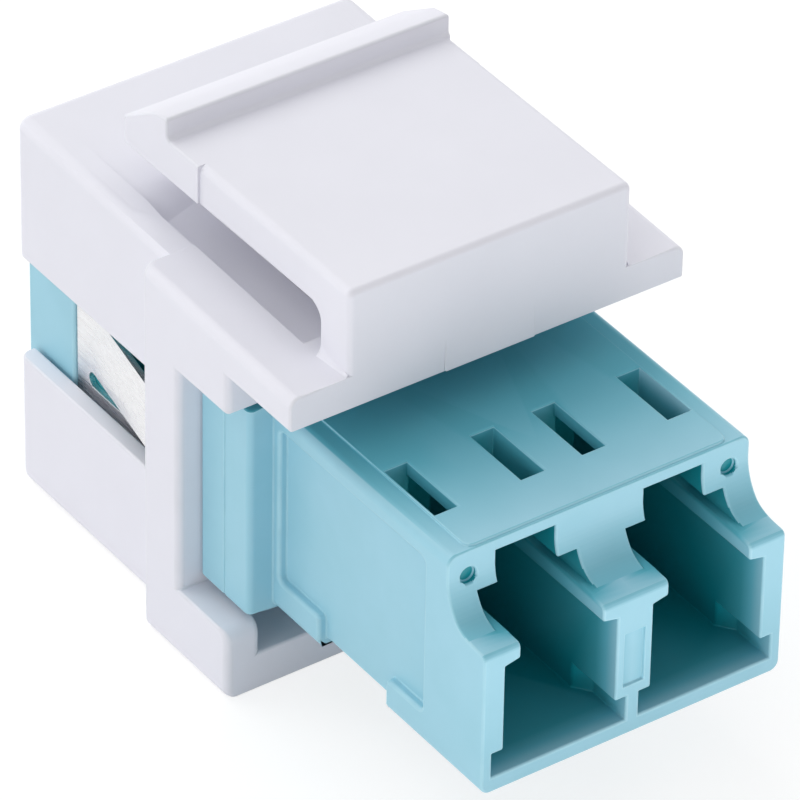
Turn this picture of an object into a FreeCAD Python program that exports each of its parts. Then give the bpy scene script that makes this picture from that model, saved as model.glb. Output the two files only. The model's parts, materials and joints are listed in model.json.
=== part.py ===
import FreeCAD
import Part
import math
import os

# Duplex fibre adapter in a snap-in keystone holder, in millimetres.
# The front, which shows through the panel, faces -Y. The in-wall end faces +Y and +Z is up.
# The origin lies in the plane of the flange's front face, on the adapter's middle line.

# Adapter ports, seen along the plug
PORT_PITCH = 6.25
PORT_WIDTH = 4.73
PORT_SIDE_WALL = 0.91
PORT_DEPTH = 11.2
WEB_THICKNESS = 3.1
FLOOR_WALL = 0.65
PLUG_HEIGHT = 4.62
GUIDE_RIB_REACH = 0.63
GUIDE_RIB_HEIGHT = 0.83
GUIDE_RIB_BEVEL = 0.14
LEVER_ROOM_INSET = 0.27
LEVER_ROOM_HEIGHT = 1.02
LATCH_NOTCH_WIDTH = 2.5
CATCH_HEIGHT = 1.23
TOP_WALL = 0.6
ENTRY_FLARE = 0.48
ENTRY_FLARE_HEIGHT = 1.02
ENTRY_FLARE_DEPTH = 2.55
ENTRY_FLARE_TAPER = 0.65

# Concave upper end of each half, and the windows over the plug catches
SWOOP_RADIUS = 2.25
CATCH_LENGTH = 2.2
WINDOW_LENGTH = 3.0
WINDOW_WIDTH = 0.98
WINDOW_OFFSET = 1.83
SHOULDER_WIDTH = 0.88
SHOULDER_DROP = 0.1
PANEL_INSET = 0.12
PANEL_ROUND = 0.35
BODY_ROUND = 0.4

# Small marks of the mould on the end of each half
PIN_MARK_DIAMETER = 0.66
PIN_MARK_DEPTH = 0.2
PIN_MARK_INSET = 0.88
PIN_MARK_DROP = 1.17
WALL_MARK_WIDTH = 0.86
WALL_MARK_HEIGHT = 2.3
WALL_MARK_RISE = 1.5
WALL_MARK_DEPTH = 0.12

# Mid flange of the adapter, shared by the two halves
EAR_REACH = 1.03
EAR_THICKNESS = 1.55
EAR_ROUND = 0.25

# Split sleeves that line up the ferrules
FERRULE_DIAMETER = 1.25
SLEEVE_WALL = 0.185
SLEEVE_LENGTH = 6.8
SLEEVE_SLOT = 0.25
SLEEVE_GAP = 0.05
TUBE_WALL = 0.62
TUBE_LIP = 0.8
LIP_GAP = 0.04
LEAD_IN = 0.3

# Spring clip round the front half, and the seat for it that both halves have
CLIP_THICKNESS = 0.25
CLIP_SINK = 0.1
CLIP_GAP = 0.05
SEAT_MARGIN = 0.35
SEAT_LENGTH = 8.8
FRONT_SEAT_LENGTH = 9.4
SEAT_RISE = 1.38
SEAT_HEIGHT = 6.6
SEAT_ROUND = 0.25
BAND_START = 2.5
BAND_WIDTH = 4.1
TONGUE_HEIGHT = 2.8
TONGUE_SLIT = 0.65
TONGUE_STRIP = 1.1
TONGUE_FLARE_DEG = 10.5
TONGUE_GAP = 0.08

# Keystone holder
ADAPTER_GAP = 0.15
SIDE_WALL = 0.7
FACE_WALL = 1.2
BLOCK_LENGTH = 9.85
BLOCK_ROUND = 0.5
BLOCK_FRONT_ROUND = 0.42
TOP_SLOPE_DEG = 1.57
PANEL_RELIEF_LENGTH = 2.1
PANEL_RELIEF_DEPTH = 0.12
PANEL_RELIEF_RAMP = 0.9
LOWER_POCKET = 1.65
LOWER_WALL = 1.6
UPPER_POCKET = 1.75
POCKET_INSET = 0.55
SIDE_WINDOW_HEIGHT = 4.45
FLANGE_THICKNESS = 2.3
FLANGE_RIM = 0.92
FLANGE_ROUND = 0.4
JAW_POST_WIDTH = 1.45
UPPER_JAW_GAP = 0.25
LOWER_JAW_GAP = 0.43
LOWER_JAW_ROUND = 0.55
SHELF_LENGTH = 6.94
SHELF_THICKNESS = 1.35
INSERT_PAD_WIDTH = 3.8
INSERT_PAD_HEIGHT = 0.05

# Release latch, which springs at its rear wall
LATCH_WIDTH = 11.9
LATCH_THICKNESS = 1.6
LATCH_LIFT = 1.96
LATCH_WALL = 1.7
LATCH_TOP_ROUND = 0.25
LATCH_SIDE_ROUND = 0.3
SLOT_ROUND = 0.65
HEAD_OVERHANG = 0.1
HEAD_LENGTH = 4.6
HEAD_START = 0.1
PANEL_GRIP = 1.85
CATCH_RIDGE_HEIGHT = 0.87
CATCH_RIDGE_CROWN = 0.85
CATCH_RIDGE_FALL = 0.17
RIDGE_FOOT_ROUND = 0.2
NOSE_HEIGHT = 1.1
WELL_DEPTH = 0.34
WELL_GAP = 0.05
WELL_FRONT_WALL = 1.35
WELL_FRONT_DEPTH = 0.06
WELL_RAMP_LENGTH = 1.4
WELL_RAMP_FOOT = 2.2
WELL_REAR_STEP = 0.85
KNUCKLE_DIAMETER = 1.0
KNUCKLE_GAP = 0.06
KNUCKLE_SHOULDER = 0.1
HINGE_LAND = 0.05

# Room past a face, so that a cut passes right through it
OVERCUT = 1.0

# Adapter sizes that follow
adapter_width = PORT_PITCH + PORT_WIDTH + 2 * PORT_SIDE_WALL
adapter_height = (FLOOR_WALL + PLUG_HEIGHT + GUIDE_RIB_HEIGHT + LEVER_ROOM_HEIGHT
                  + CATCH_HEIGHT + TOP_WALL)
half_width = adapter_width / 2
half_height = adapter_height / 2
half_length = WEB_THICKNESS + PORT_DEPTH
port_floor = FLOOR_WALL - half_height
ferrule_z = port_floor + PORT_WIDTH / 2
swoop_start_z = port_floor + PLUG_HEIGHT + GUIDE_RIB_HEIGHT / 2
ear_half_width = half_width + EAR_REACH
seat_depth = CLIP_THICKNESS + CLIP_SINK
seat_start = EAR_THICKNESS + SEAT_MARGIN
seat_bottom = SEAT_RISE - half_height
sleeve_diameter = FERRULE_DIAMETER + 2 * SLEEVE_WALL
sleeve_room = sleeve_diameter + 2 * SLEEVE_GAP
room_end = SLEEVE_LENGTH / 2 + SLEEVE_GAP
tube_end = room_end + TUBE_LIP

# Holder sizes that follow
opening_half_width = half_width + ADAPTER_GAP
opening_half_height = half_height + ADAPTER_GAP
block_half_width = opening_half_width + SIDE_WALL
flange_half_width = ear_half_width + FLANGE_RIM
seam_y = FLANGE_THICKNESS + EAR_THICKNESS
jaw_rear_y = FLANGE_THICKNESS + 2 * EAR_THICKNESS
shelf_rear_y = FLANGE_THICKNESS + SHELF_LENGTH
pocket_bottom_z = -opening_half_height - LOWER_POCKET
pocket_top_z = opening_half_height + UPPER_POCKET
holder_bottom_z = pocket_bottom_z - LOWER_WALL
shelf_top_z = pocket_top_z + SHELF_THICKNESS
well_floor_z = shelf_top_z - WELL_DEPTH

# Latch sizes that follow
latch_under_z = shelf_top_z + LATCH_LIFT
latch_top_z = latch_under_z + LATCH_THICKNESS
latch_wall_y = shelf_rear_y - LATCH_WALL
head_half_width = LATCH_WIDTH / 2 + HEAD_OVERHANG
hinge_y = shelf_rear_y - LATCH_WALL / 2
latch_shoulder_z = latch_under_z - SLOT_ROUND - HINGE_LAND
hinge_z = latch_shoulder_z - KNUCKLE_SHOULDER


def vector(x, y, z):
    return FreeCAD.Vector(x, y, z)


def block(x_range, y_range, z_range):
    # A box between two places on each axis
    low = vector(x_range[0], y_range[0], z_range[0])
    return Part.makeBox(x_range[1] - x_range[0], y_range[1] - y_range[0], z_range[1] - z_range[0], low)


def both_sides(inner, outer):
    # The two X ranges of a feature that is on the left and on the right
    return [(-outer, -inner), (inner, outer)]


def side_profile(points, half_x):
    # A closed outline of (Y, Z) points, drawn out across X
    corners = [vector(-half_x, y, z) for y, z in points]
    face = Part.Face(Part.makePolygon(corners + corners[:1]))
    return face.extrude(vector(2 * half_x, 0, 0))


def end_profile(points, y_range):
    # A closed outline of (X, Z) points, drawn out along Y
    corners = [vector(x, y_range[0], z) for x, z in points]
    face = Part.Face(Part.makePolygon(corners + corners[:1]))
    return face.extrude(vector(0, y_range[1] - y_range[0], 0))


def plan_profile(points, z_range):
    # A closed outline of (X, Y) points, drawn up along Z
    corners = [vector(x, y, z_range[0]) for x, y in points]
    face = Part.Face(Part.makePolygon(corners + corners[:1]))
    return face.extrude(vector(0, 0, z_range[1] - z_range[0]))


def rod_along_y(diameter, x, z, y_range):
    start = vector(x, y_range[0], z)
    return Part.makeCylinder(diameter / 2, y_range[1] - y_range[0], start, vector(0, 1, 0))


def rod_along_x(diameter, half_x, y, z):
    return Part.makeCylinder(diameter / 2, 2 * half_x, vector(-half_x, y, z), vector(1, 0, 0))


def edges_along(solid, axis, keep):
    # Straight edges parallel to an axis whose middle passes a test
    found = []
    for edge in solid.Edges:
        if not isinstance(edge.Curve, Part.Line):
            continue
        if abs(edge.Curve.Direction.dot(axis)) > 0.999 and keep(edge.CenterOfMass):
            found.append(edge)
    return found


def near(value, target):
    return abs(value - target) < 1e-4


def rounded(solid, radius, axis, keep):
    return solid.makeFillet(radius, edges_along(solid, axis, keep))


ALONG_X = vector(1, 0, 0)
ALONG_Y = vector(0, 1, 0)
ALONG_Z = vector(0, 0, 1)


def port_outline(x_middle):
    # Keyhole section of one port: plug room, guide ribs, lever room and latch notch
    plug = PORT_WIDTH / 2
    rib = plug - GUIDE_RIB_REACH
    lever = plug - LEVER_ROOM_INSET
    notch = LATCH_NOTCH_WIDTH / 2
    rib_z = port_floor + PLUG_HEIGHT
    lever_z = rib_z + GUIDE_RIB_HEIGHT
    notch_z = lever_z + LEVER_ROOM_HEIGHT
    top_z = notch_z + CATCH_HEIGHT
    right = [
        (plug, port_floor), (plug, rib_z), (rib, rib_z + GUIDE_RIB_BEVEL), (rib, lever_z),
        (lever, lever_z), (lever, notch_z), (notch, notch_z), (notch, top_z),
    ]
    left = [(-x, z) for x, z in reversed(right)]
    return [(x_middle + x, z) for x, z in right + left]


def port_cut(x_middle):
    # All that is taken out of a half for one plug, from the web to the open end
    end = half_length + OVERCUT
    cut = end_profile(port_outline(x_middle), (WEB_THICKNESS, end))
    cut = cut.fuse(entry_flare(x_middle, end))
    catch_z = half_height - TOP_WALL - CATCH_HEIGHT
    window_end = half_length - SWOOP_RADIUS - CATCH_LENGTH
    window_y = (window_end - WINDOW_LENGTH, window_end)
    outer = WINDOW_OFFSET + WINDOW_WIDTH / 2
    cut = cut.fuse(block((x_middle - outer, x_middle + outer), window_y, (catch_z, half_height - TOP_WALL)))
    for low, high in both_sides(outer - WINDOW_WIDTH, outer):
        cut = cut.fuse(block((x_middle + low, x_middle + high), window_y, (catch_z, half_height + OVERCUT)))
    return cut


def entry_flare(x_middle, end):
    # Wider foot of a port at its open end, which narrows to the port's width with a short taper
    plug = PORT_WIDTH / 2
    start = half_length - ENTRY_FLARE_DEPTH
    right = [
        (plug, start), (plug + ENTRY_FLARE, start + ENTRY_FLARE_TAPER), (plug + ENTRY_FLARE, end),
    ]
    left = [(-x, y) for x, y in reversed(right)]
    outline = [(x_middle + x, y) for x, y in right + left]
    return plan_profile(outline, (port_floor, port_floor + ENTRY_FLARE_HEIGHT))


def swoop_cut():
    # The concave cut above the ports: a quarter round, then straight up
    top = half_height + OVERCUT
    end = half_length + OVERCUT
    floor = block((-ear_half_width, ear_half_width), (half_length - SWOOP_RADIUS, end), (swoop_start_z, top))
    heel = block((-ear_half_width, ear_half_width), (half_length - SWOOP_RADIUS, half_length),
                 (swoop_start_z, swoop_start_z + SWOOP_RADIUS))
    hollow = rod_along_x(2 * SWOOP_RADIUS, ear_half_width, half_length, swoop_start_z + SWOOP_RADIUS)
    return floor.cut(heel.cut(hollow))


def seat_outline(length, margin):
    # Side view of the clip's seat, right across a half: a panel that runs out under the floor
    reach = half_width + OVERCUT
    seat_y = (seat_start + margin, seat_start + length - margin)
    band_y = (seat_start + BAND_START + margin, seat_start + BAND_START + BAND_WIDTH - margin)
    panel = block((-reach, reach), seat_y, (seat_bottom + margin, seat_bottom + SEAT_HEIGHT - margin))
    passage = block((-reach, reach), band_y, (-half_height - OVERCUT, seat_bottom + SEAT_HEIGHT / 2))
    outline = panel.fuse(passage).removeSplitter()
    return rounded(outline, SEAT_ROUND - margin, ALONG_X, lambda p: p.z > -half_height)


def clip_seat(length):
    # What is sunk into the sides and the underside of a half for the clip
    inside = half_width - seat_depth
    core = block((-inside, inside), (0, half_length), (seat_depth - half_height, half_height))
    return seat_outline(length, 0).cut(core)


def top_panel(shoulder_z):
    # Slightly raised panel on top, which stops short of the sides and of the swoop
    panel_x = half_width - SHOULDER_WIDTH
    panel_end = half_length - SWOOP_RADIUS - PANEL_INSET
    panel = block((-panel_x, panel_x), (0, panel_end), (shoulder_z, half_height))
    return rounded(panel, PANEL_ROUND, ALONG_Z, lambda p: near(p.y, panel_end))


def adapter_half(seat_length):
    # One half, with the seam at Y = 0 and its ports open towards +Y
    shoulder_z = half_height - SHOULDER_DROP
    body = block((-half_width, half_width), (0, half_length), (-half_height, shoulder_z))
    body = rounded(body, BODY_ROUND, ALONG_Y, lambda p: True)
    body = body.fuse(top_panel(shoulder_z))
    ears = block((-ear_half_width, ear_half_width), (0, EAR_THICKNESS), (-half_height, half_height))
    ears = rounded(ears, EAR_ROUND, ALONG_Z, lambda p: near(p.y, EAR_THICKNESS))
    body = body.fuse(ears)
    body = body.cut(clip_seat(seat_length))
    for x_middle in (-PORT_PITCH / 2, PORT_PITCH / 2):
        body = body.cut(port_cut(x_middle))
        tube = sleeve_diameter + 2 * SLEEVE_GAP + 2 * TUBE_WALL
        body = body.fuse(rod_along_y(tube, x_middle, ferrule_z, (WEB_THICKNESS / 2, tube_end)))
    body = body.cut(swoop_cut())
    for x_middle in (-PORT_PITCH / 2, PORT_PITCH / 2):
        body = body.cut(rod_along_y(sleeve_room, x_middle, ferrule_z, (-OVERCUT, room_end)))
        body = body.cut(lead_in_cone(x_middle))
    return mould_marks(body).removeSplitter()


def lead_in_cone(x_middle):
    # Funnel through the lip that keeps the sleeve in, narrowest beside the sleeve
    narrow = FERRULE_DIAMETER / 2 + LIP_GAP
    start = vector(x_middle, room_end, ferrule_z)
    return Part.makeCone(narrow, narrow + LEAD_IN, TUBE_LIP, start, vector(0, 1, 0))


def mould_marks(body):
    # Ejector dimples beside the swoop and a shallow mark on the wall between the ports
    swoop_end = half_length - SWOOP_RADIUS
    for x in (PIN_MARK_INSET - half_width, half_width - PIN_MARK_INSET):
        pin = rod_along_y(PIN_MARK_DIAMETER, x, half_height - PIN_MARK_DROP,
                          (swoop_end - PIN_MARK_DEPTH, swoop_end + OVERCUT))
        body = body.cut(pin)
    mark_z = (port_floor + WALL_MARK_RISE, port_floor + WALL_MARK_RISE + WALL_MARK_HEIGHT)
    mark = block((-WALL_MARK_WIDTH / 2, WALL_MARK_WIDTH / 2),
                 (half_length - WALL_MARK_DEPTH, half_length + OVERCUT), mark_z)
    return body.cut(mark)


def at_seam(shape, rear):
    # Puts a shape from a half's own frame at the rear or, turned about, at the front of the seam
    if not rear:
        shape.rotate(vector(0, 0, 0), ALONG_Z, 180)
    shape.translate(vector(0, seam_y, 0))
    return shape


def split_sleeve(x_middle):
    # Thin tube with one slot along its top, centred on the seam
    y_range = (seam_y - SLEEVE_LENGTH / 2, seam_y + SLEEVE_LENGTH / 2)
    sleeve = rod_along_y(sleeve_diameter, x_middle, ferrule_z, y_range)
    sleeve = sleeve.cut(rod_along_y(FERRULE_DIAMETER, x_middle, ferrule_z, y_range))
    slot = block((x_middle - SLEEVE_SLOT / 2, x_middle + SLEEVE_SLOT / 2), y_range,
                 (ferrule_z, ferrule_z + sleeve_diameter))
    return sleeve.cut(slot)


def retaining_clip():
    # Sheet steel U under the front half, with a tongue on each side that springs out to the flange
    outer = half_width - CLIP_SINK
    inner = outer - CLIP_THICKNESS
    floor_z = CLIP_SINK - half_height
    sheet = block((-outer, outer), (0, half_length), (floor_z, half_height))
    sheet = rounded(sheet, CLIP_THICKNESS, ALONG_Y, lambda p: near(p.z, floor_z))
    sheet = sheet.cut(block((-inner, inner), (0, half_length), (floor_z + CLIP_THICKNESS, half_height)))
    clip = at_seam(sheet.common(seat_outline(FRONT_SEAT_LENGTH, CLIP_GAP)), False)
    root_y = seam_y - seat_start - FRONT_SEAT_LENGTH + CLIP_GAP + TONGUE_STRIP
    tip_y = -TONGUE_GAP
    window_z = TONGUE_HEIGHT / 2 + TONGUE_SLIT
    reach = (-half_width, half_width)
    clip = clip.cut(block(reach, (root_y, tip_y + TONGUE_SLIT), (-window_z, window_z)))
    for z in (-window_z + TONGUE_SLIT / 2, window_z - TONGUE_SLIT / 2):
        clip = clip.cut(rod_along_x(TONGUE_SLIT, half_width, root_y, z))
    for side in (-1, 1):
        clip = clip.fuse(clip_tongue(side, inner, outer, root_y, tip_y))
    return clip.removeSplitter()


def clip_tongue(side, inner, outer, root_y, tip_y):
    # One spring tongue, which flares out from its root and ends just short of the flange
    length = (tip_y - root_y) / math.cos(math.radians(TONGUE_FLARE_DEG))
    x_range = sorted((side * inner, side * outer))
    tongue = block(x_range, (root_y, root_y + length), (-TONGUE_HEIGHT / 2, TONGUE_HEIGHT / 2))
    tongue.rotate(vector(side * inner, root_y, 0), ALONG_Z, -side * TONGUE_FLARE_DEG)
    beyond = block((-2 * half_width, 2 * half_width), (tip_y, tip_y + OVERCUT), (-half_height, half_height))
    return tongue.cut(beyond)


def top_height(y):
    # Height of the holder's top, which is one plane with draft from the shelf's rear edge up to the nose
    return shelf_top_z + math.tan(math.radians(TOP_SLOPE_DEG)) * (shelf_rear_y - y)


def rear_outline():
    # Side view of flange, jaws and shelf as one outline, from the front bottom corner round
    upper_jaw_z = half_height + UPPER_JAW_GAP
    lower_jaw_z = -half_height - LOWER_JAW_GAP
    return [
        (0, holder_bottom_z), (jaw_rear_y, holder_bottom_z), (jaw_rear_y, lower_jaw_z),
        (FLANGE_THICKNESS, lower_jaw_z), (FLANGE_THICKNESS, upper_jaw_z), (jaw_rear_y, upper_jaw_z),
        (jaw_rear_y, pocket_top_z), (shelf_rear_y, pocket_top_z), (shelf_rear_y, shelf_top_z),
        (0, top_height(0)),
    ]


def nose_block():
    # Block that goes through the panel, with rounded sides and a rounded front rim
    outline = [
        (0, holder_bottom_z), (0, top_height(0)), (-BLOCK_LENGTH, top_height(-BLOCK_LENGTH)),
        (-BLOCK_LENGTH, holder_bottom_z),
    ]
    nose = side_profile(outline, block_half_width)
    nose = rounded(nose, BLOCK_ROUND, ALONG_Y, lambda p: True)
    rim = [edge for edge in nose.Edges if near(edge.BoundBox.YMax, -BLOCK_LENGTH)]
    return nose.makeFillet(BLOCK_FRONT_ROUND, rim)


def keystone_frame():
    # One moulding: nose block, flange, jaws that hold the adapter's ears, and the latch shelf
    rear = side_profile(rear_outline(), flange_half_width)
    lower_jaw_z = -half_height - LOWER_JAW_GAP
    rear = rounded(rear, LOWER_JAW_ROUND, ALONG_X,
                   lambda p: near(p.y, jaw_rear_y) and near(p.z, lower_jaw_z))
    rear = rounded(rear, FLANGE_ROUND, ALONG_Y,
                   lambda p: near(p.z, holder_bottom_z) or p.z > shelf_top_z - SHELF_THICKNESS / 2)
    post_inner = flange_half_width - JAW_POST_WIDTH
    rear = rear.cut(block((-post_inner, post_inner), (FLANGE_THICKNESS, jaw_rear_y + OVERCUT),
                          (pocket_bottom_z, pocket_top_z)))
    frame = nose_block().cut(panel_relief()).fuse(rear)
    frame = frame.fuse(hinge_stub())
    frame = frame.cut(adapter_room())
    frame = frame.cut(latch_well())
    knuckle = KNUCKLE_DIAMETER + 2 * KNUCKLE_GAP
    frame = frame.cut(rod_along_x(knuckle, flange_half_width, hinge_y, hinge_z))
    pad = block((-INSERT_PAD_WIDTH / 2, INSERT_PAD_WIDTH / 2),
                (shelf_rear_y, shelf_rear_y + INSERT_PAD_HEIGHT), (pocket_top_z, shelf_top_z))
    return frame.fuse(pad).removeSplitter()


def panel_relief():
    # Shallow drop across the nose's top, where the panel's edge lies against the flange
    foot_y = -PANEL_RELIEF_LENGTH
    start_y = foot_y - PANEL_RELIEF_RAMP
    outline = [
        (start_y, top_height(start_y)), (foot_y, top_height(foot_y) - PANEL_RELIEF_DEPTH),
        (0, top_height(0) - PANEL_RELIEF_DEPTH), (0, top_height(0) + OVERCUT),
        (start_y, top_height(start_y) + OVERCUT),
    ]
    return side_profile(outline, block_half_width)


def hinge_stub():
    # Lower part of the latch's rear wall, which stays with the shelf
    stub = block((-LATCH_WIDTH / 2, LATCH_WIDTH / 2), (latch_wall_y, shelf_rear_y),
                 (pocket_top_z, hinge_z - KNUCKLE_SHOULDER))
    return rounded(stub, LATCH_TOP_ROUND, ALONG_Z, lambda p: near(p.y, shelf_rear_y))


def adapter_room():
    # Passage for the adapter, cored pockets above and below it, and the side windows for the tongues
    front = -BLOCK_LENGTH - OVERCUT
    rear = FLANGE_THICKNESS + OVERCUT
    room = block((-opening_half_width, opening_half_width), (front, rear),
                 (-opening_half_height, opening_half_height))
    pocket_x = opening_half_width - POCKET_INSET
    room = room.fuse(block((-pocket_x, pocket_x), (FACE_WALL - BLOCK_LENGTH, FLANGE_THICKNESS),
                           (pocket_bottom_z, pocket_top_z)))
    window = block((-flange_half_width, flange_half_width), (front, 0),
                   (-SIDE_WINDOW_HEIGHT / 2, SIDE_WINDOW_HEIGHT / 2))
    return room.fuse(window)


def latch_well():
    # Trough under the latch: a trace of one on the nose, a ramp, then level along the shelf
    start_y = WELL_FRONT_WALL - BLOCK_LENGTH
    ramp_y = -WELL_RAMP_FOOT - WELL_RAMP_LENGTH
    end_y = latch_wall_y - WELL_REAR_STEP
    above_z = top_height(start_y) + OVERCUT
    outline = [
        (start_y, top_height(start_y)), (ramp_y, top_height(ramp_y) - WELL_FRONT_DEPTH),
        (-WELL_RAMP_FOOT, well_floor_z), (end_y, well_floor_z), (end_y, above_z), (start_y, above_z),
    ]
    return side_profile(outline, head_half_width + WELL_GAP)


def head_outline():
    # Side view of the latch's head: plate, catch ridge with its crown and ramp, and nose
    ridge_z = latch_top_z + CATCH_RIDGE_HEIGHT
    return [
        (HEAD_START, latch_under_z), (HEAD_START, latch_top_z), (-PANEL_GRIP, latch_top_z),
        (-PANEL_GRIP, ridge_z), (-PANEL_GRIP - CATCH_RIDGE_CROWN, ridge_z - CATCH_RIDGE_FALL),
        (-HEAD_LENGTH, latch_under_z + NOSE_HEIGHT), (-HEAD_LENGTH, latch_under_z),
    ]


def plate_outline():
    # Side view of the latch behind its head: plate and rear wall
    return [
        (HEAD_START, latch_under_z), (HEAD_START, latch_top_z), (shelf_rear_y, latch_top_z),
        (shelf_rear_y, latch_shoulder_z), (latch_wall_y, latch_shoulder_z), (latch_wall_y, latch_under_z),
    ]


def release_latch():
    # Cantilever plate that is pressed down at its head to free the holder from the panel
    plate = side_profile(plate_outline(), LATCH_WIDTH / 2)
    plate = rounded(plate, SLOT_ROUND, ALONG_X,
                    lambda p: near(p.y, latch_wall_y) and near(p.z, latch_under_z))
    plate = rounded(plate, LATCH_SIDE_ROUND, ALONG_Y, lambda p: near(p.z, latch_top_z))
    plate = rounded(plate, LATCH_TOP_ROUND, ALONG_X,
                    lambda p: near(p.y, shelf_rear_y) and near(p.z, latch_top_z))
    head = side_profile(head_outline(), head_half_width)
    head = rounded(head, RIDGE_FOOT_ROUND, ALONG_X,
                   lambda p: near(p.y, -PANEL_GRIP) and near(p.z, latch_top_z))
    latch = plate.fuse(head)
    latch = latch.fuse(rod_along_x(KNUCKLE_DIAMETER, LATCH_WIDTH / 2, hinge_y, hinge_z))
    return latch.removeSplitter()


def build():
    parts = {
        "keystone_frame": keystone_frame(),
        "release_latch": release_latch(),
        "adapter_rear_half": at_seam(adapter_half(SEAT_LENGTH), True),
        "adapter_front_half": at_seam(adapter_half(FRONT_SEAT_LENGTH), False),
        "retaining_clip": retaining_clip(),
        "split_sleeve_left": split_sleeve(-PORT_PITCH / 2),
        "split_sleeve_right": split_sleeve(PORT_PITCH / 2),
    }
    os.makedirs("parts", exist_ok=True)
    for name, shape in parts.items():
        print(name, "valid", shape.isValid(), "solids", len(shape.Solids), "volume", round(shape.Volume, 3))
        shape.exportStep("parts/" + name + ".step")


build()
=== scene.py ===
import bmesh
import bpy
import json
import math
from mathutils import Matrix, Vector


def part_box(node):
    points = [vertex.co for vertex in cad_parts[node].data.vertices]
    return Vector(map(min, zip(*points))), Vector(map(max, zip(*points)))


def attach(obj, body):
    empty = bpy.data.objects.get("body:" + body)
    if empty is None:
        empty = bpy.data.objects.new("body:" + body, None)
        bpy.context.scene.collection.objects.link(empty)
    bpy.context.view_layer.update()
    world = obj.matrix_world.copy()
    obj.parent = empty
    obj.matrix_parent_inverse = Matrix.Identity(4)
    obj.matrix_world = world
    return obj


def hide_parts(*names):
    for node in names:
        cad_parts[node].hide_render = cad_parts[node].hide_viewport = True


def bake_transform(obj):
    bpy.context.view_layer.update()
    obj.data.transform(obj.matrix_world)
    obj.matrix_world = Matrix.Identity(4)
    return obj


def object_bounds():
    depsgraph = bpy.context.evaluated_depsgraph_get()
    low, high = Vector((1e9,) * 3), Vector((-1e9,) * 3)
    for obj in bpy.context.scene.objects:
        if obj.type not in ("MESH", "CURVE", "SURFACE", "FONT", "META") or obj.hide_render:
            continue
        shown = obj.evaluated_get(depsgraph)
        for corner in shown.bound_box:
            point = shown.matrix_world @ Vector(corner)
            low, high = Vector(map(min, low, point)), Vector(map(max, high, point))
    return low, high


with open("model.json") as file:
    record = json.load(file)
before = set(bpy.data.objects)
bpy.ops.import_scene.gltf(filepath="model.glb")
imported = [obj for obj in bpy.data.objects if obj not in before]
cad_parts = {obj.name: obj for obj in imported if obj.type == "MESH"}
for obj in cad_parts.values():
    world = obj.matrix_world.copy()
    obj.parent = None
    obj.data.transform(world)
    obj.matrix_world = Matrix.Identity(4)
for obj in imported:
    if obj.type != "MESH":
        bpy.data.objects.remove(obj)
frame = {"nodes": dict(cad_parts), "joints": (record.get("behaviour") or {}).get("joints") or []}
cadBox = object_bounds()
print("frame loaded:", len(frame["nodes"]), "nodes")

# pieces are modelled in millimetres and brought to metres when they are finished
mm = 0.001
toMillimetres = Matrix.Scale(1 / mm, 4)
toMetres = Matrix.Scale(mm, 4)
scene = bpy.context.scene
axisNormals = {"x": Vector((1, 0, 0)), "y": Vector((0, 1, 0)), "z": Vector((0, 0, 1))}

meshing = {
    "mergeDistance": 0.002,
    "flatAngle": math.radians(0.5),
    "sharpAngle": math.radians(30),
    "smoothAngle": math.radians(40),
    "roomShare": 0.42,  # of a narrow face, that one rounded edge may take
    "leastRoom": 0.0001,
    "leastRound": 0.012,
    "endSlack": 0.02,  # past an edge's ends, where a corner still counts as beside it
    "straight": 0.9,  # least part of an edge's direction along an axis
    "near": 0.01,
    "level": 0.001,
    "decimals": 3,
    "arcStep": 15,
    "segments": 3,
    "edgeMask": "edgeRound",
    # painted shade in the aqua's colour: ports, windows, swoop, the top under the shelf and what lies under
    # the clip
    "paintedShadeMask": "paintedShade",
}


def deselectAll():
    if bpy.context.mode != "OBJECT":
        bpy.ops.object.mode_set(mode="OBJECT")
    bpy.ops.object.select_all(action="DESELECT")


def pick(piece):
    deselectAll()
    piece.select_set(True)
    bpy.context.view_layer.objects.active = piece


def nodeBox(node):
    low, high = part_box(node)
    return low / mm, high / mm


def copyNode(node, name):
    # a free copy of a node's mesh, in millimetres and merged
    piece = bpy.data.objects.new(name, frame["nodes"][node].data.copy())
    scene.collection.objects.link(piece)
    piece.data.materials.clear()
    piece.data.transform(toMillimetres)
    pick(piece)
    bpy.ops.mesh.customdata_custom_splitnormals_clear()
    bpy.ops.object.mode_set(mode="EDIT")
    bpy.ops.mesh.select_all(action="SELECT")
    bpy.ops.mesh.remove_doubles(threshold=meshing["mergeDistance"])
    bpy.ops.object.mode_set(mode="OBJECT")
    return piece


def combine(piece, tool, operation):
    # a boolean with a tool, which is then thrown away
    cut = piece.modifiers.new("combine", "BOOLEAN")
    cut.object = tool
    cut.operation = operation
    cut.solver = "EXACT"
    pick(piece)
    bpy.ops.object.modifier_apply(modifier=cut.name)
    bpy.data.objects.remove(tool)


def extruded(name, points, reach):
    # a solid from a flat outline, drawn out along a vector
    piece = bpy.data.objects.new(name, bpy.data.meshes.new(name))
    scene.collection.objects.link(piece)
    pick(piece)
    bpy.ops.object.mode_set(mode="EDIT")
    mesh = bmesh.from_edit_mesh(piece.data)
    mesh.faces.new([mesh.verts.new(point) for point in points])
    bmesh.update_edit_mesh(piece.data)
    bpy.ops.mesh.select_all(action="SELECT")
    bpy.ops.mesh.extrude_region_move(TRANSFORM_OT_translate={"value": reach})
    bpy.ops.mesh.select_all(action="SELECT")
    bpy.ops.mesh.normals_make_consistent(inside=False)
    bpy.ops.object.mode_set(mode="OBJECT")
    return piece


def selectFaces(piece, test):
    mesh = bmesh.from_edit_mesh(piece.data)
    for face in mesh.faces:
        face.select_set(test(face.calc_center_median()))
    bmesh.update_edit_mesh(piece.data)


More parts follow.
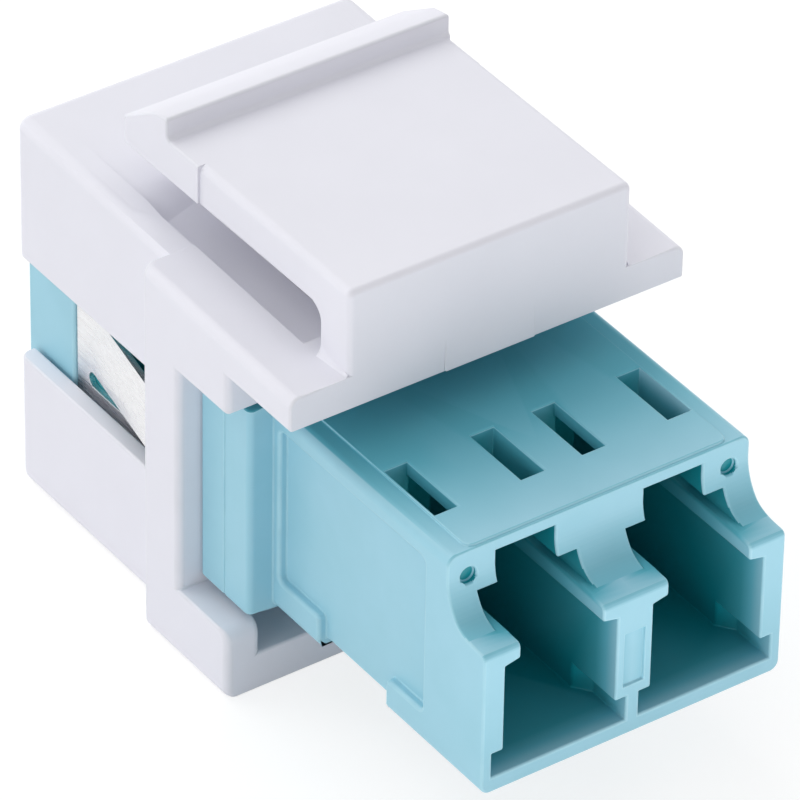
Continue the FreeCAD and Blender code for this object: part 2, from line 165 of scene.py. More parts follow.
def selectVerts(piece, test):
    mesh = bmesh.from_edit_mesh(piece.data)
    bpy.ops.mesh.select_all(action="DESELECT")
    for vert in mesh.verts:
        if test(vert.co):
            vert.select_set(True)
    mesh.select_flush_mode()
    bmesh.update_edit_mesh(piece.data)


def wholeFaces(piece, cuts):
    # flat faces become whole again, apart from plane cuts through the openings in them
    pick(piece)
    bpy.ops.object.mode_set(mode="EDIT")
    bpy.ops.mesh.select_all(action="SELECT")
    bpy.ops.mesh.remove_doubles(threshold=meshing["mergeDistance"])
    for axis, place, within in cuts:
        selectFaces(piece, within)
        normal = axisNormals[axis]
        bpy.ops.mesh.bisect(plane_co=normal * place, plane_no=normal)
        bpy.ops.mesh.mark_seam()
    bpy.ops.mesh.select_all(action="SELECT")
    bpy.ops.mesh.dissolve_limited(angle_limit=meshing["flatAngle"], delimit={"SEAM"})
    bpy.ops.object.mode_set(mode="OBJECT")


def everywhere(middle):
    return True


def edgeRoom(edge):
    # the least width of the faces beside an edge, measured across it
    start = edge.verts[0].co
    along = edge.verts[1].co - start
    length = along.length
    along.normalize()
    room = math.inf
    for face in edge.link_faces:
        for vert in face.verts:
            if vert in edge.verts:
                continue
            reach = vert.co - start
            place = reach.dot(along)
            across = (reach - along * place).length
            beside = -meshing["endSlack"] < place < length + meshing["endSlack"]
            if beside and across > meshing["leastRoom"]:
                room = min(room, across)
    return room


def softenEdges(piece, widest, radiusOf, segments=meshing["segments"]):
    # rounds each sharp edge by the radius that radiusOf gives, or less on a narrow face
    mesh = bmesh.new()
    mesh.from_mesh(piece.data)
    weights = mesh.edges.layers.float.new("bevel_weight_edge")
    for edge in mesh.edges:
        if len(edge.link_faces) != 2 or edge.calc_face_angle() < meshing["sharpAngle"]:
            continue
        middle = (edge.verts[0].co + edge.verts[1].co) / 2
        along = (edge.verts[1].co - edge.verts[0].co).normalized()
        room = meshing["roomShare"] * edgeRoom(edge)
        radius = min(radiusOf(middle, along, edge.is_convex), room)
        if radius > meshing["leastRound"]:
            edge[weights] = radius / widest
    mesh.to_mesh(piece.data)
    mesh.free()
    for slot in range(2):  # the second slot marks the faces that the bevel makes
        piece.data.materials.append(None)
    bevel = piece.modifiers.new("soften", "BEVEL")
    bevel.width = widest
    bevel.segments = segments
    bevel.limit_method = "WEIGHT"
    bevel.use_clamp_overlap = False
    bevel.loop_slide = False
    bevel.material = 1
    pick(piece)
    bpy.ops.object.modifier_apply(modifier=bevel.name)
    # the new faces are kept as a mask, for the edge colour in the materials: wear, and a painted highlight on
    # the aqua's rims
    mask = piece.data.attributes.new(meshing["edgeMask"], "FLOAT", "FACE")
    for face in piece.data.polygons:
        mask.data[face.index].value = face.material_index
        face.material_index = 0
    piece.data.materials.clear()


def finishPiece(piece, material, nodes):
    # flat faces keep flat shading beside the rounds, and the piece goes to metres
    pick(piece)
    bpy.ops.object.shade_smooth_by_angle(angle=meshing["smoothAngle"])
    normals = piece.modifiers.new("normals", "WEIGHTED_NORMAL")
    normals.keep_sharp = True
    bpy.ops.object.modifier_apply(modifier=normals.name)
    piece.data.transform(toMetres)
    piece.data.materials.append(material)
    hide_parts(*nodes)
    print(piece.name, "has", len(piece.data.polygons), "faces")


def addNode(tree, kind, inputs, **settings):
    # a node with its settings, each input given a value or joined to a socket
    node = tree.nodes.new(kind)
    for name, value in settings.items():
        setattr(node, name, value)
    for name, value in inputs.items():
        if isinstance(value, bpy.types.NodeSocket):
            tree.links.new(value, node.inputs[name])
        else:
            node.inputs[name].default_value = value
    return node


def noiseOf(tree, place, scale, detail):
    settings = {"Vector": place, "Scale": scale, "Detail": detail}
    return addNode(tree, "ShaderNodeTexNoise", settings).outputs[0]


def newGroup(name, inputs, outputs):
    # an empty group with its named sockets
    group = bpy.data.node_groups.new(name, "ShaderNodeTree")
    for label, kind in inputs:
        group.interface.new_socket(label, in_out="INPUT", socket_type=kind)
    for label, kind in outputs:
        group.interface.new_socket(label, in_out="OUTPUT", socket_type=kind)
    given = group.nodes.new("NodeGroupInput").outputs
    result = group.nodes.new("NodeGroupOutput").inputs
    return group, given, result


vectorSocket, floatSocket = "NodeSocketVector", "NodeSocketFloat"
noiseDetail = {"grain": 3, "cloud": 3, "patches": 2, "streak": 4}
noiseMiddle = (0.3, 0.7)  # where most values of a noise lie
edgeWearAndLightSpread = {
    "patches": (0.35, 0.6),
    "share": (0.45, 1),  # how strongly the least and the most marked edges take the edge colour
}


def spread(tree, value, ends, span=noiseMiddle):
    # part of a noise's range, spread between two ends
    settings = {
        "Value": value, "From Min": span[0], "From Max": span[1], "To Min": ends[0], "To Max": ends[1]}
    return addNode(tree, "ShaderNodeMapRange", settings).outputs[0]


def mouldedSkinGroup():
    # fine grain of the mould's steel, and slow clouds where the melt cooled unevenly
    inputs = [("Place", vectorSocket), ("Grain Scale", floatSocket), ("Cloud Scale", floatSocket)]
    outputs = [("Grain", floatSocket), ("Cloud", floatSocket)]
    group, given, result = newGroup("mouldedSkin", inputs, outputs)
    grain = noiseOf(group, given["Place"], given["Grain Scale"], noiseDetail["grain"])
    cloud = noiseOf(group, given["Place"], given["Cloud Scale"], noiseDetail["cloud"])
    group.links.new(grain, result["Grain"])
    group.links.new(cloud, result["Cloud"])
    return group


def edgeWearAndPaintedLightGroup():
    # the rounded edges of a piece, broken up by patches: a mask for wear and for painted light on the edges
    inputs = [("Place", vectorSocket), ("Edge", floatSocket), ("Break Scale", floatSocket)]
    group, given, result = newGroup("edgeWearAndPaintedLight", inputs, [("Mask", floatSocket)])
    patches = noiseOf(group, given["Place"], given["Break Scale"], noiseDetail["patches"])
    share = spread(group, patches, edgeWearAndLightSpread["share"], edgeWearAndLightSpread["patches"])
    mask = addNode(group, "ShaderNodeMath", {0: given["Edge"], 1: share}, operation="MULTIPLY")
    group.links.new(mask.outputs[0], result["Mask"])
    return group


def rolledMetalGroup():
    # streaks along the way that sheet is rolled or tube is drawn
    inputs = [("Place", vectorSocket), ("Stretch", vectorSocket)]
    group, given, result = newGroup("rolledMetal", inputs, [("Streak", floatSocket)])
    factors = {0: given["Place"], 1: given["Stretch"]}
    drawn = addNode(group, "ShaderNodeVectorMath", factors, operation="MULTIPLY").outputs[0]
    streak = noiseOf(group, drawn, 1, noiseDetail["streak"])
    group.links.new(streak, result["Streak"])
    return group


mouldedSkin = mouldedSkinGroup()
edgeWearAndPaintedLight = edgeWearAndPaintedLightGroup()
rolledMetal = rolledMetalGroup()


def opaque(color):
    return (*color, 1)


def mixColors(tree, share, low, high):
    ends = {"Factor": share, "A": low, "B": high}
    return addNode(tree, "ShaderNodeMix", ends, data_type="RGBA").outputs["Result"]


def attributeOf(tree, name):
    return addNode(tree, "ShaderNodeAttribute", {}, attribute_name=name).outputs["Fac"]


def newMaterial(name):
    material = bpy.data.materials.new(name)
    material.use_nodes = True
    tree = material.node_tree
    return material, tree, tree.nodes["Principled BSDF"]


def mouldedPlastic(name, finish):
    material, tree, shader = newMaterial(name)
    place = tree.nodes.new("ShaderNodeTexCoord").outputs["Object"]
    edge = attributeOf(tree, meshing["edgeMask"])
    skin = addNode(tree, "ShaderNodeGroup", {}, node_tree=mouldedSkin)
    tree.links.new(place, skin.inputs["Place"])
    skin.inputs["Grain Scale"].default_value = finish["grainScale"]
    skin.inputs["Cloud Scale"].default_value = finish["cloudScale"]
    edgeWearAndLight = addNode(tree, "ShaderNodeGroup", {}, node_tree=edgeWearAndPaintedLight)
    tree.links.new(place, edgeWearAndLight.inputs["Place"])
    tree.links.new(edge, edgeWearAndLight.inputs["Edge"])
    edgeWearAndLight.inputs["Break Scale"].default_value = finish["breakScale"]
    cloud = spread(tree, skin.outputs["Cloud"], (0, 1))
    face = mixColors(tree, cloud, opaque(finish["darkColor"]), opaque(finish["lightColor"]))
    whole = mixColors(tree, edgeWearAndLight.outputs["Mask"], face, opaque(finish["edgeColor"]))
    # painted shade from the mask: towards the shade colour first, then towards the deep shade colour
    if "deepShadeColor" in finish:
        deep = attributeOf(tree, meshing["paintedShadeMask"])
        turn = finish["deepTurn"]
        near = addNode(tree, "ShaderNodeMapRange", {"Value": deep, "From Max": turn}).outputs["Result"]
        far = addNode(tree, "ShaderNodeMapRange", {"Value": deep, "From Min": turn}).outputs["Result"]
        whole = mixColors(tree, near, whole, opaque(finish["shadeColor"]))
        whole = mixColors(tree, far, whole, opaque(finish["deepShadeColor"]))
    tree.links.new(whole, shader.inputs["Base Color"])
    roughness = spread(tree, skin.outputs["Cloud"], finish["roughness"])
    tree.links.new(roughness, shader.inputs["Roughness"])
    bump = addNode(tree, "ShaderNodeBump", {
        "Height": skin.outputs["Grain"], "Strength": finish["bumpStrength"], "Distance": finish["bumpDepth"]})
    tree.links.new(bump.outputs["Normal"], shader.inputs["Normal"])
    for socket, value in finish["constants"].items():
        shader.inputs[socket].default_value = value
    return material


def rolledSheet(name, finish):
    material, tree, shader = newMaterial(name)
    place = tree.nodes.new("ShaderNodeTexCoord").outputs["Object"]
    rolled = addNode(tree, "ShaderNodeGroup", {}, node_tree=rolledMetal)
    tree.links.new(place, rolled.inputs["Place"])
    rolled.inputs["Stretch"].default_value = finish["stretch"]
    streak = rolled.outputs["Streak"]
    share = spread(tree, streak, (0, 1))
    color = mixColors(tree, share, opaque(finish["darkColor"]), opaque(finish["lightColor"]))
    tree.links.new(color, shader.inputs["Base Color"])
    tree.links.new(spread(tree, streak, finish["roughness"]), shader.inputs["Roughness"])
    bump = addNode(tree, "ShaderNodeBump", {
        "Height": streak, "Strength": finish["bumpStrength"], "Distance": finish["bumpDepth"]})
    tree.links.new(bump.outputs["Normal"], shader.inputs["Normal"])
    shader.inputs["Metallic"].default_value = 1
    return material


whiteFinish = {
    "lightColor": (0.81, 0.81, 0.875),
    "darkColor": (0.79, 0.79, 0.855),
    # a little darker on the rounded edges
    "edgeColor": (0.765, 0.77, 0.825),
    "roughness": (0.5, 0.62),
    "grainScale": 9000,
    "cloudScale": 300,
    "breakScale": 700,
    "bumpStrength": 0.08,
    "bumpDepth": 0.00001,
    "constants": {"Specular IOR Level": 0.3},
}
aquaFinish = {
    "lightColor": (0.35, 0.635, 0.755),
    "darkColor": (0.32, 0.61, 0.725),
    # lighter on the rims: a painted highlight, with wear
    "edgeColor": (0.395, 0.675, 0.78),
    "shadeColor": (0.13, 0.47, 0.58),  # painted shade on the swoop, under the shelf and at the ports' mouths
    "deepTurn": 0.4,  # value of the painted shade mask at which it turns towards the deep shade colour
    "deepShadeColor": (0.006, 0.27, 0.32),  # painted shade far inside the ports, darker and greener
    "roughness": (0.3, 0.42),
    "grainScale": 7000,
    "cloudScale": 420,
    "breakScale": 900,
    "bumpStrength": 0.06,
    "bumpDepth": 0.00001,
    "constants": {
        "Specular IOR Level": 0.22, "Coat Weight": 0.05, "Coat Roughness": 0.25,
        "Sheen Weight": 0.02, "Sheen Roughness": 0.4,
    },
}
steelFinish = {
    "lightColor": (0.86, 0.86, 0.87),
    "darkColor": (0.74, 0.74, 0.75),
    "roughness": (0.22, 0.36),
    "stretch": (9000, 700, 9000),
    "bumpStrength": 0.1,
    "bumpDepth": 0.000005,
}
bronzeFinish = {
    "lightColor": (0.76, 0.53, 0.30),
    "darkColor": (0.64, 0.43, 0.23),
    "roughness": (0.25, 0.4),
    "stretch": (8000, 500, 8000),
    "bumpStrength": 0.1,
    "bumpDepth": 0.000005,
}
whitePlastic = mouldedPlastic("whitePlastic", whiteFinish)
aquaPlastic = mouldedPlastic("aquaPlastic", aquaFinish)
springSteel = rolledSheet("springSteel", steelFinish)
sleeveBronze = rolledSheet("sleeveBronze", bronzeFinish)
print("materials made")

holder = {
    "hingeFillLow": 7.5,
    "hingeFillHigh": 9.02,
    "knuckleReach": 0.8,
    "wallReach": 1.0,
    "flangeFront": -0.1,
    "headStart": 0.1,
    "noseTop": 7.3,
    "latchUnder": 9.6,
    "postWidth": 1.6,
    "postRear": 5.5,
    "troughSide": 6.2,
    "wallMargin": 0.1,
    "slotDepth": (-0.8, 0.05),  # of the slot's rear end, from the wall's front
    "slotTop": 2.0,  # below the ridge
    "ridgeBand": 0.05,
    "padStart": 0.03,  # behind the wall
    "padBand": 2.1,  # below the frame's highest point
    "padSlope": 0.35,
    "wallSide": 5.95,
    "shelfTop": 7.725,
    "footHollow": 0.45,
    "footSink": 0.06,
    "footTaper": 0.25,
    "widestRound": 0.3,
    "postRound": 0.28,
    "cutMargin": 1.0,
    "headSide": 5.955,  # where the head has no step
    "headTop": 11.285,
    "headRound": 0.28,
    "headRear": 0.11,
    "ridgeFoot": -1.75,
    "ridgeRound": 0.14,
    "troughRound": 0.14,
    "slotRound": 0.05,
    "plainRound": 0.1,
    "hollowRound": 0.07,
    "bendStart": 8.0,
    "bendEnd": 9.6,
    "bendCuts": (8.3, 8.7),
}


def hingeFill(hinge):
    # closes the knuckle's gaps: the outline of the latch's wall, drawn down over the stub
    wall = copyNode("release_latch", "hingeFill")
    pick(wall)
    bpy.ops.object.mode_set(mode="EDIT")
    mesh = bmesh.from_edit_mesh(wall.data)
    places = [vert.co.copy() for vert in mesh.verts]
    beside = [p for p in places if abs(p.y - hinge.y) > holder["knuckleReach"]]
    shoulder = min(p.z for p in beside if p.y > hinge.y - holder["wallReach"])
    outline = [p for p in places if abs(p.z - shoulder) < meshing["level"]]
    bpy.ops.mesh.select_all(action="SELECT")
    bpy.ops.mesh.delete(type="VERT")
    for point in outline:
        for height in (holder["hingeFillLow"], holder["hingeFillHigh"]):
            mesh.verts.new((point.x, point.y, height))
    bmesh.update_edit_mesh(wall.data)
    bpy.ops.mesh.select_all(action="SELECT")
    bpy.ops.mesh.convex_hull()
    bpy.ops.object.mode_set(mode="OBJECT")
    return wall


def slopePad(piece, wallY):
    # the pad on the rear face runs out into it at its top
    pick(piece)
    bpy.ops.object.mode_set(mode="EDIT")
    bpy.ops.mesh.select_mode(type="VERT")
    padLow = nodeBox("keystone_frame")[1].z - holder["padBand"]
    selectVerts(piece, lambda place: place.y > wallY + holder["padStart"] and place.z > padLow)
    bpy.ops.transform.translate(value=(0, 0, -holder["padSlope"]))
    bpy.ops.object.mode_set(mode="OBJECT")


def trimHead(arm, low, high):
    # takes the step off one side of the head and rounds it as the plate beside it
    side, top, radius = -holder["headSide"], holder["headTop"], holder["headRound"]
    foot, rear, margin = holder["ridgeFoot"], holder["headRear"], holder["cutMargin"]
    outside, front = low.x - margin, low.y - margin
    slab = [(outside, front, low.z), (side, front, low.z), (side, rear, low.z), (outside, rear, low.z)]
    combine(arm, extruded("headSlab", slab, (0, 0, high.z - low.z + margin)), "DIFFERENCE")
    middle, level = side + radius, top - radius
    turns = [math.radians(turn) for turn in range(180, 89, -meshing["arcStep"])]
    arc = [(middle + radius * math.cos(turn), level + radius * math.sin(turn)) for turn in turns]
    arc += [(middle, high.z), (outside, high.z), (outside, level)]
    corner = [(x, foot, z) for x, z in arc]
    combine(arm, extruded("headCorner", corner, (0, rear - foot, 0)), "DIFFERENCE")


def wallFoot(wallFront, wallY, side):
    # a hollow from the wall's side to the shelf, which dies away towards the rear
    shelf, sink, foot = holder["shelfTop"], holder["footSink"], holder["footHollow"]
    turns = [math.radians(turn) for turn in range(0, 91, meshing["arcStep"])]
    outline = [(foot * (1 - math.sin(turn)), foot * (1 - math.cos(turn))) for turn in turns]
    outline += [(-sink, foot), (-sink, -sink), (foot, -sink)]
    wallSide = holder["wallSide"]
    points = [(side * (wallSide + x), wallFront, shelf + z) for x, z in outline]
    hollow = extruded("wallFoot", points, (0, wallY - wallFront - sink, 0))
    pick(hollow)
    bpy.ops.object.mode_set(mode="EDIT")
    bpy.ops.mesh.select_mode(type="VERT")
    selectVerts(hollow, lambda place: place.y > wallY - 2 * sink)
    taper = holder["footTaper"]
    middle = (side * wallSide, wallY, shelf)
    bpy.ops.transform.resize(value=(taper, 1, taper), center_override=middle)
    bpy.ops.object.mode_set(mode="OBJECT")
    return hollow


def buildHolder():
    # holder and latch are one moulding, which bends at the latch's rear wall
    hinge = Vector(frame["joints"][0]["pos_m"]) / mm
    latchLow, latchHigh = nodeBox("release_latch")
    wallY = latchHigh.y
    wallFront = 2 * hinge.y - wallY
    piece = copyNode("keystone_frame", "holderMoulding")
    slopePad(piece, wallY)
    arm = copyNode("release_latch", "latchArm")
    trimHead(arm, latchLow, latchHigh)
    combine(arm, hingeFill(hinge), "UNION")
    combine(piece, arm, "UNION")
    for side in (1, -1):
        combine(piece, wallFoot(wallFront, wallY, side), "UNION")
    cuts = [("x", 0, everywhere)] + [("z", height, everywhere) for height in holder["bendCuts"]]
    wholeFaces(piece, cuts)
    frameLow, frameHigh = nodeBox("keystone_frame")
    plain, front = holder["plainRound"], holder["flangeFront"]
    slotFront, slotRear = (wallFront + reach for reach in holder["slotDepth"])

    def radiusOf(middle, along, convex):
        side, depth, height = abs(middle.x), middle.y, middle.z
        onNoseTop = depth < front and holder["noseTop"] < height < holder["latchUnder"]
        if onNoseTop or abs(depth - holder["headStart"]) < meshing["near"]:
            return 0  # faint steps, which stay as they are
        toFoot = (side - holder["wallSide"], depth - wallY, height - holder["shelfTop"])
        if max(abs(part) for part in toFoot) < holder["footHollow"]:
            return 0  # where the hollow at the wall's foot dies away
        atRidgeFoot = abs(depth - holder["ridgeFoot"]) < holder["headRound"] / 2
        aboveHead = height > holder["headTop"] - holder["headRound"]
        if atRidgeFoot and aboveHead and middle.x < holder["headRound"] - holder["headSide"]:
            return 0  # where the head's round side ends at the ridge
        onShelf = holder["noseTop"] < height < holder["bendStart"]
        if onShelf and depth < wallFront - holder["wallMargin"] and side < holder["troughSide"]:
            return holder["troughRound"]
        if not convex:
            return holder["hollowRound"]
        inSlot = holder["bendStart"] < height < latchHigh.z - holder["slotTop"]
        if inSlot and slotFront < depth < slotRear:
            return holder["slotRound"]
        if side > frameHigh.x - holder["postWidth"] and front < depth < holder["postRear"]:
            return plain + abs(along.z) * (holder["postRound"] - plain)
        if abs(along.x) > meshing["straight"] and height > latchHigh.z - holder["ridgeBand"]:
            return holder["ridgeRound"]
        return plain

    softenEdges(piece, holder["widestRound"], radiusOf)
    for vert in piece.data.vertices:
        vert.co.z = max(vert.co.z, frameLow.z)  # no rounded corner stands below the underside
    finishPiece(piece, whitePlastic, ["keystone_frame", "release_latch"])
    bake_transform(piece)


buildHolder()
print("holder done")

adapter = {
    "portPitch": 6.25,
    "portReach": 2.87,
    "portFloor": -3.9,
    "portRoof": 3.9,
    # darkDepth and each Dark value below set painted shade in the aqua's colour
    "darkDepth": 5.0,
    "windowPlace": 8.35,  # from the seam to the middle of the windows
    "windowReach": 2.4,
    "windowSpan": (4.2, 7.7),
    "windowTop": 4.42,
    "windowDark": 0.55,
    "topLevel": 4.32,
    "topFacing": 0.7,  # least upward part of a normal on the top
    "topLength": 7.7,
    "topDark": 0.62,
    "swoopDark": 0.26,
    "endFacing": 0.2,  # least outward part of a normal on the swoop
    "endMargin": 0.2,
    "swoopRadius": 2.25,
    "swoopStart": 1.21,
    "swoopLift": 0.38,
    "swoopJoin": 50,  # degrees round the arc
    "tipSteps": 4,
    "curveSteps": 8,
    "endSpan": (1.0, 3.7),
    "endRoot": 0.4,
    "pinSide": 5.52,
    "pinHeight": 3.305,
    "pinRadius": 0.33,
    "pinDepth": 0.2,
    "pinSides": 32,
    "ribTop": 1.625,
    "leverTop": 2.645,
    "ribHalf": 1.735,
    "leverHalf": 2.095,
    "notchHalf": 1.25,
    "bodySide": 6.4,
    "mouthReach": 2.77,
    "mouthTop": 0.925,
    "mouthDepth": 1.2,
    "mouthDark": 0.75,
    "seatSide": 6.05,
    "seatBand": 0.05,
    "seatStart": 3.0,  # from the open end
    "widestRound": 0.25,
    "plainRound": 0.09,
    "tipRound": 0.24,
    "seatRound": 0.14,
    "hollowRound": 0.06,
}


def portRoom(middle, openEnd):
    # the upper part of a port's keyhole section, through the swoop
    right = [
        (adapter["ribHalf"], 0), (adapter["ribHalf"], adapter["ribTop"]),
        (adapter["leverHalf"], adapter["ribTop"]), (adapter["leverHalf"], adapter["leverTop"]),
        (adapter["notchHalf"], adapter["leverTop"]), (adapter["notchHalf"], adapter["portRoof"]),
    ]
    outline = right + [(-x, z) for x, z in reversed(right)]
    reach = 2 * adapter["swoopRadius"]
    points = [(middle + x, openEnd - reach, z) for x, z in outline]
    return extruded("portRoom", points, (0, 2 * reach, 0))


def swoopCurve():
    # side view of the swoop: a blunt rounded tip, level with the guide ribs, then up into the arc
    radius, start, tip = adapter["swoopRadius"], adapter["swoopStart"], adapter["tipRound"]
    level = start + adapter["swoopLift"]
    steps = adapter["curveSteps"]
    curve = []
    for step in range(adapter["tipSteps"]):
        turn = step / adapter["tipSteps"] * math.pi / 2
        curve.append(Vector((tip * (1 - math.cos(turn)), level - tip * (1 - math.sin(turn)))))
    join = math.radians(adapter["swoopJoin"])
    meet = Vector((radius * math.sin(join), start + radius * (1 - math.cos(join))))
    flat = Vector((tip, level))
    bend = Vector((meet.x - (meet.y - level) / math.tan(join), level))
    for step in range(steps):
        share = step / steps
        curve.append(flat * (1 - share) ** 2 + bend * 2 * share * (1 - share) + meet * share ** 2)
    for step in range(steps + 1):
        turn = join + (math.pi / 2 - join) * step / steps
        curve.append(Vector((radius * math.sin(turn), start + radius * (1 - math.cos(turn)))))
    return curve


def renewEnd(piece, openEnd, facing):
    # the walls' ends above the plug room are cut away and made again with the fuller swoop
    low, high = adapter["endSpan"]
    root = adapter["swoopRadius"] + adapter["endRoot"]
    past = -adapter["endRoot"]
    side = adapter["bodySide"]

    def slab(name, outline, half):
        points = [(-half, openEnd - facing * inward, height) for inward, height in outline]
        return extruded(name, points, (2 * half, 0, 0))

    cut = slab("endCut", [(past, low), (past, high), (root, high), (root, low)], 2 * side)
    combine(piece, cut, "DIFFERENCE")
    curve = [tuple(place) for place in swoopCurve()]
    outline = [(0, low)] + curve + [(adapter["swoopRadius"], high), (root, high), (root, low)]
    ends = slab("wallEnds", outline, side)
    for middle in (-adapter["portPitch"] / 2, adapter["portPitch"] / 2):
        combine(ends, portRoom(middle, openEnd), "DIFFERENCE")
    for across in (-adapter["pinSide"], adapter["pinSide"]):
        place = (across, openEnd - facing * adapter["swoopRadius"], adapter["pinHeight"])
        bpy.ops.mesh.primitive_cylinder_add(
            vertices=adapter["pinSides"], radius=adapter["pinRadius"], depth=2 * adapter["pinDepth"],
            location=place, rotation=(math.pi / 2, 0, 0))
        combine(ends, bpy.context.object, "DIFFERENCE")
    combine(piece, ends, "UNION")


def paintedShadeAt(place, inward, normal, facing):
    # the painted shade at a point in a port, in a window, on the swoop or on the top under the shelf
    across = abs(abs(place.x) - adapter["portPitch"] / 2)
    atEnd = place.z > adapter["endSpan"][0] and inward < adapter["swoopRadius"] + adapter["endMargin"]
    # painted shade on the swoop, darker where its faces look up
    if atEnd and normal.y * facing > adapter["endFacing"]:
        return adapter["swoopDark"] * max(normal.z, 0)
    # painted shade in the ports, deepening inwards from the mouth
    if across < adapter["portReach"] and adapter["portFloor"] < place.z < adapter["portRoof"]:
        shallow = adapter["mouthDark"] * inward / adapter["mouthDepth"]
        deep = adapter["mouthDark"] + (inward - adapter["mouthDepth"]) / adapter["darkDepth"]
        return min(shallow, deep, 1)
    # painted shadow of the shelf on the top, deepening towards the holder
    if normal.z > adapter["topFacing"]:
        along = max(inward - adapter["swoopRadius"], 0) / adapter["topLength"]
        return adapter["topDark"] * min(along, 1) if place.z > adapter["topLevel"] else 0
    # painted shade in the windows
    low, high = adapter["windowSpan"]
    inHeight = 0 < place.z < adapter["windowTop"]
    inWindow = inHeight and across < adapter["windowReach"] and low < inward < high
    return adapter["windowDark"] if inWindow else 0


def paintShadeMask(piece, openEnd, facing, underClip):
    # keeps the painted shade as a mask, with what lies under the clip painted wholly dark as shade
    mask = piece.data.attributes.new(meshing["paintedShadeMask"], "FLOAT", "CORNER")
    for face in piece.data.polygons:
        hidden = underClip(face.center)
        for loop in face.loop_indices:
            place = piece.data.vertices[piece.data.loops[loop].vertex_index].co
            dark = paintedShadeAt(place, abs(openEnd - place.y), face.normal, facing)
            mask.data[loop].value = 1 if hidden else dark


def buildHalf(node, name, facing):
    piece = copyNode(node, name)
    for vert in piece.data.vertices:
        vert.co = [round(part, meshing["decimals"]) for part in vert.co]  # so that flat faces meet
    low, high = nodeBox(node)
    seam, openEnd = (low.y, high.y) if facing > 0 else (high.y, low.y)
    openEnd = round(openEnd, meshing["decimals"])
    renewEnd(piece, openEnd, facing)
    side = adapter["portPitch"] / 2
    cuts = [("x", 0, everywhere), ("x", side, everywhere), ("x", -side, everywhere)]
    cuts.append(("y", seam + facing * adapter["windowPlace"], everywhere))
    clipLow, clipHigh = nodeBox("retaining_clip")

    def inMouth(middle):
        across = abs(abs(middle.x) - side)
        return across < adapter["mouthReach"] and adapter["portFloor"] < middle.z < adapter["mouthTop"]

    cuts.append(("y", openEnd - facing * adapter["mouthDepth"], inMouth))

    def onSeat(middle):
        return abs(abs(middle.x) - adapter["seatSide"]) < adapter["seatBand"]

    coverStart, slitReach = clipLow.y + clip["stripCover"], clip["slitReach"]

    def underClip(middle):
        return onSeat(middle) and abs(middle.z) < slitReach and coverStart < middle.y < clipHigh.y

    if facing < 0:
        cuts.append(("y", coverStart, onSeat))
        cuts += [("z", height, onSeat) for height in (slitReach, -slitReach)]
    wholeFaces(piece, cuts)

    def radiusOf(middle, along, convex):
        if not convex:
            return adapter["hollowRound"]
        onSide = abs(abs(middle.x) - adapter["bodySide"]) < meshing["near"]
        if onSide and abs(middle.y - openEnd) > adapter["seatStart"]:
            return adapter["seatRound"]
        return adapter["plainRound"]

    softenEdges(piece, adapter["widestRound"], radiusOf)
    paintShadeMask(piece, openEnd, facing, underClip)
    finishPiece(piece, aquaPlastic, [node])
    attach(piece, "holder")


# the front half needs these sizes too, for the painted shade on what lies under the clip
clip = {
    "edgeRound": 0.03,
    "segments": 2,
    "stripCover": 0.65,
    "slitReach": 2.3,
}

buildHalf("adapter_rear_half", "rearHalf", 1)
buildHalf("adapter_front_half", "frontHalf", -1)
print("adapter done")


def buildClip():
    piece = copyNode("retaining_clip", "springClip")
    wholeFaces(piece, [("z", 0, everywhere), ("x", 0, everywhere)])
    softenEdges(piece, clip["edgeRound"], lambda *edge: clip["edgeRound"], clip["segments"])
    finishPiece(piece, springSteel, ["retaining_clip"])
    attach(piece, "holder")


buildClip()

sleeve = {
    "edgeRound": 0.03,
    "segments": 2,
}


def buildSleeve(node, name):
    piece = copyNode(node, name)
    wholeFaces(piece, [])
    softenEdges(piece, sleeve["edgeRound"], lambda *edge: sleeve["edgeRound"], sleeve["segments"])
    finishPiece(piece, sleeveBronze, [node])
    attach(piece, "holder")


buildSleeve("split_sleeve_left", "sleeveLeft")
buildSleeve("split_sleeve_right", "sleeveRight")
print("clip and sleeves done")

studio = {
    "floorSize": 2.0,
    "floorColor": (0.82, 0.82, 0.83),
    "seenFloorColor": (0.3, 0.3, 0.3),
    "floorRoughness": 0.9,
    "floorLift": 0.75,
    "worldStrength": (0.82, 0.4),  # from behind and from the front
    "worldFront": (0, 0.85, 0.53),
}
lamps = {
    "backLamp": {"place": (0.1, -0.4, 0.525), "size": (0.6, 0.6), "power": 2.1},
    "sideLamp": {"place": (0.577, 0.061, 0.152), "size": (0.5, 0.5), "power": 1.1},
    "frontLamp": {"place": (-0.177, 0.673, 0.071), "size": (0.9, 0.12), "power": 0.36},
    "rightLamp": {"place": (-0.5, 0.03, 0.28), "size": (0.25, 0.25), "power": 0.5},
    "floorCard": {  # lifts the undersides, as a card on the floor does
        "place": (0, 0.04, -0.0074), "aim": (0, 0.04, 1), "size": (0.05, 0.03), "power": 0.0075},
}


def seenRays(tree):
    # 1 for what the camera sees, straight, in a reflection or through glass
    path = tree.nodes.new("ShaderNodeLightPath")
    total = path.outputs["Is Camera Ray"]
    for ray in ("Is Glossy Ray", "Is Transmission Ray"):
        terms = {0: total, 1: path.outputs[ray]}
        total = addNode(tree, "ShaderNodeMath", terms, operation="ADD", use_clamp=True).outputs[0]
    return total


def floorMaterial():
    # the floor lights the object as pale paper, and is seen as white with a soft shadow
    material, tree, shader = newMaterial("floorPaper")
    seen = seenRays(tree)
    tint = mixColors(tree, seen, opaque(studio["floorColor"]), opaque(studio["seenFloorColor"]))
    tree.links.new(tint, shader.inputs["Base Color"])
    shader.inputs["Roughness"].default_value = studio["floorRoughness"]
    factors = {0: seen, 1: studio["floorLift"]}
    lift = addNode(tree, "ShaderNodeMath", factors, operation="MULTIPLY")
    shader.inputs["Emission Color"].default_value = (1, 1, 1, 1)
    tree.links.new(lift.outputs[0], shader.inputs["Emission Strength"])
    return material


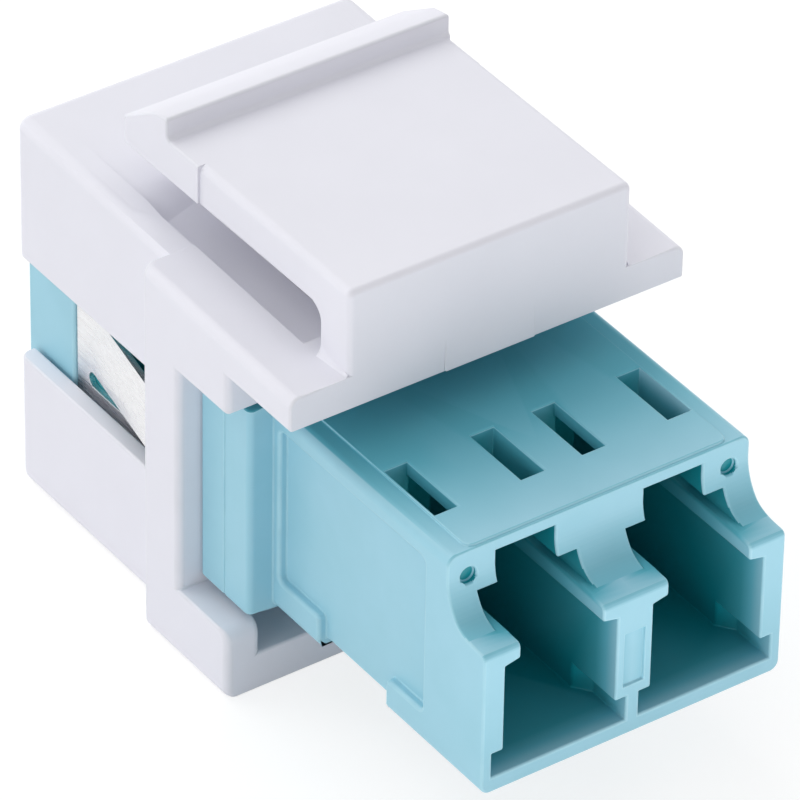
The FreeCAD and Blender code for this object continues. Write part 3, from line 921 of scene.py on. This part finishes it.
def buildLamp(name, lamp):
    bpy.ops.object.light_add(type="AREA", location=lamp["place"])
    light = bpy.context.object
    light.name = name
    light.data.shape = "RECTANGLE"
    light.data.size, light.data.size_y = lamp["size"]
    light.data.energy = lamp["power"]
    aim = Vector(lamp.get("aim", (0, 0, 0))) - Vector(lamp["place"])
    light.rotation_euler = aim.to_track_quat("-Z", "Y").to_euler()


def buildStudio():
    deselectAll()
    bpy.ops.mesh.primitive_plane_add(size=studio["floorSize"], location=(0, 0, cadBox[0].z))
    floor = bpy.context.object
    floor.name = "floor"
    floor.data.materials.append(floorMaterial())
    world = bpy.data.worlds.new("studioWorld")
    scene.world = world
    world.use_nodes = True
    tree = world.node_tree
    way = tree.nodes.new("ShaderNodeTexCoord").outputs["Generated"]
    ways = {0: way, 1: studio["worldFront"]}
    facing = addNode(tree, "ShaderNodeVectorMath", ways, operation="DOT_PRODUCT")
    behind, front = studio["worldStrength"]
    unseen = addNode(tree, "ShaderNodeMapRange", {
        "Value": facing.outputs["Value"], "From Min": -1, "To Min": behind, "To Max": front})
    level = addNode(tree, "ShaderNodeMapRange", {
        "Value": seenRays(tree), "To Min": unseen.outputs["Result"], "To Max": 1})
    background = tree.nodes["Background"]
    background.inputs["Color"].default_value = (1, 1, 1, 1)
    tree.links.new(level.outputs["Result"], background.inputs["Strength"])
    for name, lamp in lamps.items():
        buildLamp(name, lamp)


buildStudio()

camera = {
    "place": (128.89, 184.906, 164.672),
    "target": (2.99, 8.15, 4.925),
    "rollDegrees": 1.039,
    "lens": 350,
    "sensorWidth": 36,
    "seenRange": (0.01, 10),
}


def buildCamera():
    data = bpy.data.cameras.new("camera")
    data.lens = camera["lens"]
    data.sensor_width = camera["sensorWidth"]
    data.clip_start, data.clip_end = camera["seenRange"]
    obj = bpy.data.objects.new("camera", data)
    scene.collection.objects.link(obj)
    place = Vector(camera["place"]) * mm
    aim = Vector(camera["target"]) * mm - place
    turn = aim.to_track_quat("-Z", "Y").to_matrix().to_4x4()
    roll = Matrix.Rotation(math.radians(camera["rollDegrees"]), 4, "Z")
    obj.matrix_world = Matrix.Translation(place) @ turn @ roll
    scene.camera = obj


buildCamera()
scene.view_settings.view_transform = "Standard"
print("studio done")
